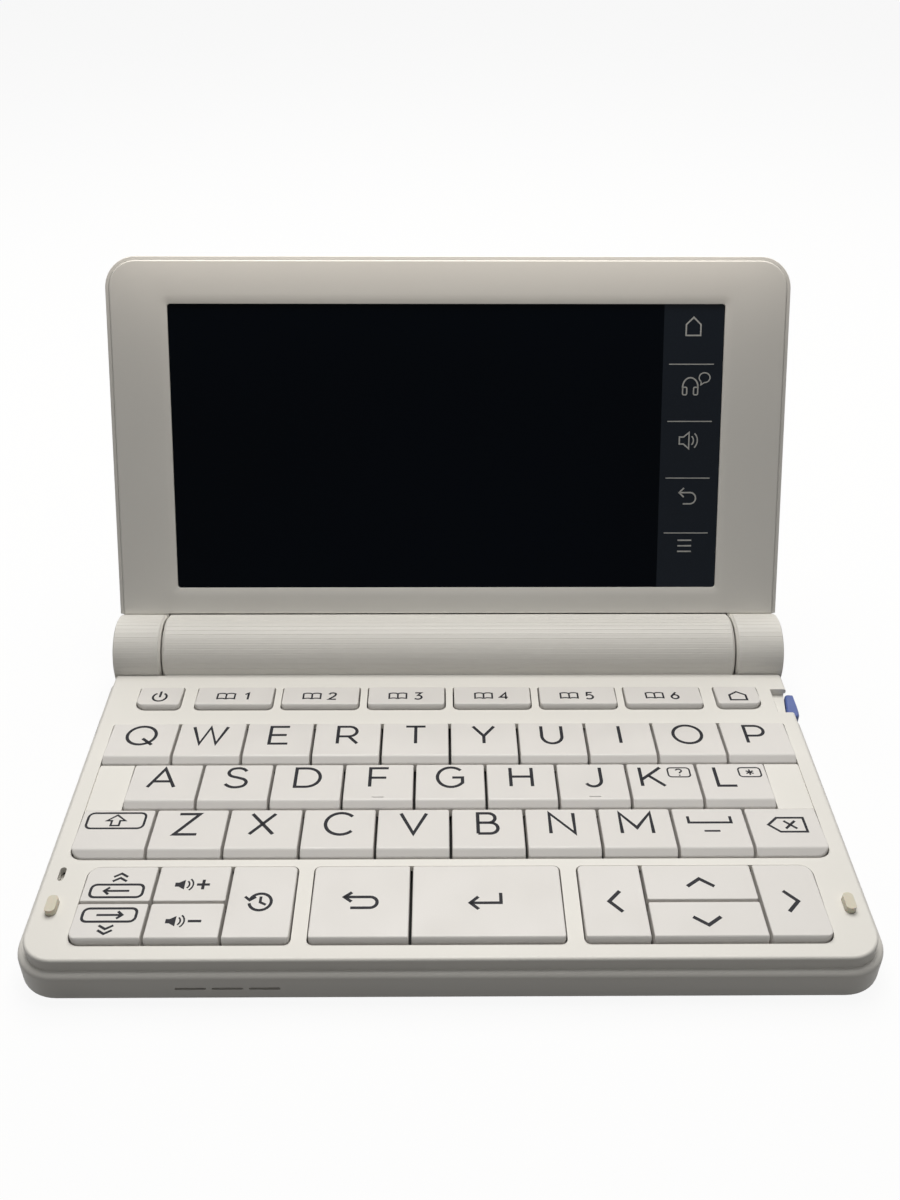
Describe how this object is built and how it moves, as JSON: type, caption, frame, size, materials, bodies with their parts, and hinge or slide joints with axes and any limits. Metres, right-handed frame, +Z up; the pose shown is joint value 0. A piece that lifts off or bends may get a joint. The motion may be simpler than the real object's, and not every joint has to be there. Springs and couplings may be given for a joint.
{
  "type": "electronic dictionary",
  "caption": "Pocket electronic dictionary: flat keyboard case and hinged touch-screen lid joined at a ribbed battery barrel, with a stylus.",
  "frame": {"origin": "on the table, under the middle of the open object's bounding box", "axes": "+X along the hinge towards the stylus side, +Y away from the user, +Z up from the table"},
  "size_m": [0.155, 0.1332, 0.0898],
  "materials": {
    "shell": "fine satin, painted ABS",
    "keycap": "satin",
    "display": "gloss touch panel over a dark display",
    "hinge_steel": "plain steel",
    "silicone": "silicone rubber",
    "board": "solder resist",
    "cells": "printed jacket",
    "stylus_blue": "moulded POM",
    "screw_steel": "zinc plated"
  },
  "bodies": {
    "base": {"bottom_case": "shell", "top_case": "shell", "hinge_units": "hinge_steel", "key_dome_sheet": "silicone", "main_board": "board", "batteries": "cells", "screws": "screw_steel"},
    "lid": {"lid_front_frame": "shell", "lid_back_cover": "shell", "display_module": "display"},
    "battery_cover": {"battery_cover": "shell"},
    "stylus": {"stylus": "stylus_blue"},
    "power_key": {"power_key": "keycap"},
    "dictionary_key_1": {"dictionary_key_1": "keycap"},
    "dictionary_key_2": {"dictionary_key_2": "keycap"},
    "dictionary_key_3": {"dictionary_key_3": "keycap"},
    "dictionary_key_4": {"dictionary_key_4": "keycap"},
    "dictionary_key_5": {"dictionary_key_5": "keycap"},
    "dictionary_key_6": {"dictionary_key_6": "keycap"},
    "home_key": {"home_key": "keycap"},
    "key_q": {"key_q": "keycap"},
    "key_w": {"key_w": "keycap"},
    "key_e": {"key_e": "keycap"},
    "key_r": {"key_r": "keycap"},
    "key_t": {"key_t": "keycap"},
    "key_y": {"key_y": "keycap"},
    "key_u": {"key_u": "keycap"},
    "key_i": {"key_i": "keycap"},
    "key_o": {"key_o": "keycap"},
    "key_p": {"key_p": "keycap"},
    "key_a": {"key_a": "keycap"},
    "key_s": {"key_s": "keycap"},
    "key_d": {"key_d": "keycap"},
    "key_f": {"key_f": "keycap"},
    "key_g": {"key_g": "keycap"},
    "key_h": {"key_h": "keycap"},
    "key_j": {"key_j": "keycap"},
    "key_k": {"key_k": "keycap"},
    "key_l": {"key_l": "keycap"},
    "shift_key": {"shift_key": "keycap"},
    "key_z": {"key_z": "keycap"},
    "key_x": {"key_x": "keycap"},
    "key_c": {"key_c": "keycap"},
    "key_v": {"key_v": "keycap"},
    "key_b": {"key_b": "keycap"},
    "key_n": {"key_n": "keycap"},
    "key_m": {"key_m": "keycap"},
    "space_key": {"space_key": "keycap"},
    "delete_key": {"delete_key": "keycap"},
    "previous_entry_key": {"previous_entry_key": "keycap"},
    "next_entry_key": {"next_entry_key": "keycap"},
    "volume_up_key": {"volume_up_key": "keycap"},
    "volume_down_key": {"volume_down_key": "keycap"},
    "history_key": {"history_key": "keycap"},
    "back_key": {"back_key": "keycap"},
    "enter_key": {"enter_key": "keycap"},
    "left_key": {"left_key": "keycap"},
    "up_key": {"up_key": "keycap"},
    "down_key": {"down_key": "keycap"},
    "right_key": {"right_key": "keycap"}
  },
  "joints": [
    {"name": "lid_hinge", "type": "hinge", "parent": "base", "child": "lid", "pos_m": [0, 0.02266, 0.0093], "axis": [-1, 0, 0], "range_deg": [-115, 40]},
    {"name": "stylus_slide", "type": "slide", "parent": "base", "child": "stylus", "axis": [0.1478, 0.989, 0], "range_m": [0, 0.055]},
    {"name": "battery_cover_slide", "type": "slide", "parent": "base", "child": "battery_cover", "axis": [0, 1, 0], "range_m": [0, 0.016]},
    {"name": "power_key_press", "type": "slide", "parent": "base", "child": "power_key", "axis": [0, 0, -1], "range_m": [0, 0.0008], "stiffness_N_per_m": 700, "deforming": ["key_dome_sheet"]},
    {"name": "dictionary_key_1_press", "type": "slide", "parent": "base", "child": "dictionary_key_1", "axis": [0, 0, -1], "range_m": [0, 0.0008], "stiffness_N_per_m": 700, "deforming": ["key_dome_sheet"]},
    {"name": "dictionary_key_2_press", "type": "slide", "parent": "base", "child": "dictionary_key_2", "axis": [0, 0, -1], "range_m": [0, 0.0008], "stiffness_N_per_m": 700, "deforming": ["key_dome_sheet"]},
    {"name": "dictionary_key_3_press", "type": "slide", "parent": "base", "child": "dictionary_key_3", "axis": [0, 0, -1], "range_m": [0, 0.0008], "stiffness_N_per_m": 700, "deforming": ["key_dome_sheet"]},
    {"name": "dictionary_key_4_press", "type": "slide", "parent": "base", "child": "dictionary_key_4", "axis": [0, 0, -1], "range_m": [0, 0.0008], "stiffness_N_per_m": 700, "deforming": ["key_dome_sheet"]},
    {"name": "dictionary_key_5_press", "type": "slide", "parent": "base", "child": "dictionary_key_5", "axis": [0, 0, -1], "range_m": [0, 0.0008], "stiffness_N_per_m": 700, "deforming": ["key_dome_sheet"]},
    {"name": "dictionary_key_6_press", "type": "slide", "parent": "base", "child": "dictionary_key_6", "axis": [0, 0, -1], "range_m": [0, 0.0008], "stiffness_N_per_m": 700, "deforming": ["key_dome_sheet"]},
    {"name": "home_key_press", "type": "slide", "parent": "base", "child": "home_key", "axis": [0, 0, -1], "range_m": [0, 0.0008], "stiffness_N_per_m": 700, "deforming": ["key_dome_sheet"]},
    {"name": "key_q_press", "type": "slide", "parent": "base", "child": "key_q", "axis": [0, 0, -1], "range_m": [0, 0.0008], "stiffness_N_per_m": 700, "deforming": ["key_dome_sheet"]},
    {"name": "key_w_press", "type": "slide", "parent": "base", "child": "key_w", "axis": [0, 0, -1], "range_m": [0, 0.0008], "stiffness_N_per_m": 700, "deforming": ["key_dome_sheet"]},
    {"name": "key_e_press", "type": "slide", "parent": "base", "child": "key_e", "axis": [0, 0, -1], "range_m": [0, 0.0008], "stiffness_N_per_m": 700, "deforming": ["key_dome_sheet"]},
    {"name": "key_r_press", "type": "slide", "parent": "base", "child": "key_r", "axis": [0, 0, -1], "range_m": [0, 0.0008], "stiffness_N_per_m": 700, "deforming": ["key_dome_sheet"]},
    {"name": "key_t_press", "type": "slide", "parent": "base", "child": "key_t", "axis": [0, 0, -1], "range_m": [0, 0.0008], "stiffness_N_per_m": 700, "deforming": ["key_dome_sheet"]},
    {"name": "key_y_press", "type": "slide", "parent": "base", "child": "key_y", "axis": [0, 0, -1], "range_m": [0, 0.0008], "stiffness_N_per_m": 700, "deforming": ["key_dome_sheet"]},
    {"name": "key_u_press", "type": "slide", "parent": "base", "child": "key_u", "axis": [0, 0, -1], "range_m": [0, 0.0008], "stiffness_N_per_m": 700, "deforming": ["key_dome_sheet"]},
    {"name": "key_i_press", "type": "slide", "parent": "base", "child": "key_i", "axis": [0, 0, -1], "range_m": [0, 0.0008], "stiffness_N_per_m": 700, "deforming": ["key_dome_sheet"]},
    {"name": "key_o_press", "type": "slide", "parent": "base", "child": "key_o", "axis": [0, 0, -1], "range_m": [0, 0.0008], "stiffness_N_per_m": 700, "deforming": ["key_dome_sheet"]},
    {"name": "key_p_press", "type": "slide", "parent": "base", "child": "key_p", "axis": [0, 0, -1], "range_m": [0, 0.0008], "stiffness_N_per_m": 700, "deforming": ["key_dome_sheet"]},
    {"name": "key_a_press", "type": "slide", "parent": "base", "child": "key_a", "axis": [0, 0, -1], "range_m": [0, 0.0008], "stiffness_N_per_m": 700, "deforming": ["key_dome_sheet"]},
    {"name": "key_s_press", "type": "slide", "parent": "base", "child": "key_s", "axis": [0, 0, -1], "range_m": [0, 0.0008], "stiffness_N_per_m": 700, "deforming": ["key_dome_sheet"]},
    {"name": "key_d_press", "type": "slide", "parent": "base", "child": "key_d", "axis": [0, 0, -1], "range_m": [0, 0.0008], "stiffness_N_per_m": 700, "deforming": ["key_dome_sheet"]},
    {"name": "key_f_press", "type": "slide", "parent": "base", "child": "key_f", "axis": [0, 0, -1], "range_m": [0, 0.0008], "stiffness_N_per_m": 700, "deforming": ["key_dome_sheet"]},
    {"name": "key_g_press", "type": "slide", "parent": "base", "child": "key_g", "axis": [0, 0, -1], "range_m": [0, 0.0008], "stiffness_N_per_m": 700, "deforming": ["key_dome_sheet"]},
    {"name": "key_h_press", "type": "slide", "parent": "base", "child": "key_h", "axis": [0, 0, -1], "range_m": [0, 0.0008], "stiffness_N_per_m": 700, "deforming": ["key_dome_sheet"]},
    {"name": "key_j_press", "type": "slide", "parent": "base", "child": "key_j", "axis": [0, 0, -1], "range_m": [0, 0.0008], "stiffness_N_per_m": 700, "deforming": ["key_dome_sheet"]},
    {"name": "key_k_press", "type": "slide", "parent": "base", "child": "key_k", "axis": [0, 0, -1], "range_m": [0, 0.0008], "stiffness_N_per_m": 700, "deforming": ["key_dome_sheet"]},
    {"name": "key_l_press", "type": "slide", "parent": "base", "child": "key_l", "axis": [0, 0, -1], "range_m": [0, 0.0008], "stiffness_N_per_m": 700, "deforming": ["key_dome_sheet"]},
    {"name": "shift_key_press", "type": "slide", "parent": "base", "child": "shift_key", "axis": [0, 0, -1], "range_m": [0, 0.0008], "stiffness_N_per_m": 700, "deforming": ["key_dome_sheet"]},
    {"name": "key_z_press", "type": "slide", "parent": "base", "child": "key_z", "axis": [0, 0, -1], "range_m": [0, 0.0008], "stiffness_N_per_m": 700, "deforming": ["key_dome_sheet"]},
    {"name": "key_x_press", "type": "slide", "parent": "base", "child": "key_x", "axis": [0, 0, -1], "range_m": [0, 0.0008], "stiffness_N_per_m": 700, "deforming": ["key_dome_sheet"]},
    {"name": "key_c_press", "type": "slide", "parent": "base", "child": "key_c", "axis": [0, 0, -1], "range_m": [0, 0.0008], "stiffness_N_per_m": 700, "deforming": ["key_dome_sheet"]},
    {"name": "key_v_press", "type": "slide", "parent": "base", "child": "key_v", "axis": [0, 0, -1], "range_m": [0, 0.0008], "stiffness_N_per_m": 700, "deforming": ["key_dome_sheet"]},
    {"name": "key_b_press", "type": "slide", "parent": "base", "child": "key_b", "axis": [0, 0, -1], "range_m": [0, 0.0008], "stiffness_N_per_m": 700, "deforming": ["key_dome_sheet"]},
    {"name": "key_n_press", "type": "slide", "parent": "base", "child": "key_n", "axis": [0, 0, -1], "range_m": [0, 0.0008], "stiffness_N_per_m": 700, "deforming": ["key_dome_sheet"]},
    {"name": "key_m_press", "type": "slide", "parent": "base", "child": "key_m", "axis": [0, 0, -1], "range_m": [0, 0.0008], "stiffness_N_per_m": 700, "deforming": ["key_dome_sheet"]},
    {"name": "space_key_press", "type": "slide", "parent": "base", "child": "space_key", "axis": [0, 0, -1], "range_m": [0, 0.0008], "stiffness_N_per_m": 700, "deforming": ["key_dome_sheet"]},
    {"name": "delete_key_press", "type": "slide", "parent": "base", "child": "delete_key", "axis": [0, 0, -1], "range_m": [0, 0.0008], "stiffness_N_per_m": 700, "deforming": ["key_dome_sheet"]},
    {"name": "previous_entry_key_press", "type": "slide", "parent": "base", "child": "previous_entry_key", "axis": [0, 0, -1], "range_m": [0, 0.0008], "stiffness_N_per_m": 700, "deforming": ["key_dome_sheet"]},
    {"name": "next_entry_key_press", "type": "slide", "parent": "base", "child": "next_entry_key", "axis": [0, 0, -1], "range_m": [0, 0.0008], "stiffness_N_per_m": 700, "deforming": ["key_dome_sheet"]},
    {"name": "volume_up_key_press", "type": "slide", "parent": "base", "child": "volume_up_key", "axis": [0, 0, -1], "range_m": [0, 0.0008], "stiffness_N_per_m": 700, "deforming": ["key_dome_sheet"]},
    {"name": "volume_down_key_press", "type": "slide", "parent": "base", "child": "volume_down_key", "axis": [0, 0, -1], "range_m": [0, 0.0008], "stiffness_N_per_m": 700, "deforming": ["key_dome_sheet"]},
    {"name": "history_key_press", "type": "slide", "parent": "base", "child": "history_key", "axis": [0, 0, -1], "range_m": [0, 0.0008], "stiffness_N_per_m": 700, "deforming": ["key_dome_sheet"]},
    {"name": "back_key_press", "type": "slide", "parent": "base", "child": "back_key", "axis": [0, 0, -1], "range_m": [0, 0.0008], "stiffness_N_per_m": 700, "deforming": ["key_dome_sheet"]},
    {"name": "enter_key_press", "type": "slide", "parent": "base", "child": "enter_key", "axis": [0, 0, -1], "range_m": [0, 0.0008], "stiffness_N_per_m": 700, "deforming": ["key_dome_sheet"]},
    {"name": "left_key_press", "type": "slide", "parent": "base", "child": "left_key", "axis": [0, 0, -1], "range_m": [0, 0.0008], "stiffness_N_per_m": 700, "deforming": ["key_dome_sheet"]},
    {"name": "up_key_press", "type": "slide", "parent": "base", "child": "up_key", "axis": [0, 0, -1], "range_m": [0, 0.0008], "stiffness_N_per_m": 700, "deforming": ["key_dome_sheet"]},
    {"name": "down_key_press", "type": "slide", "parent": "base", "child": "down_key", "axis": [0, 0, -1], "range_m": [0, 0.0008], "stiffness_N_per_m": 700, "deforming": ["key_dome_sheet"]},
    {"name": "right_key_press", "type": "slide", "parent": "base", "child": "right_key", "axis": [0, 0, -1], "range_m": [0, 0.0008], "stiffness_N_per_m": 700, "deforming": ["key_dome_sheet"]}
  ]
}
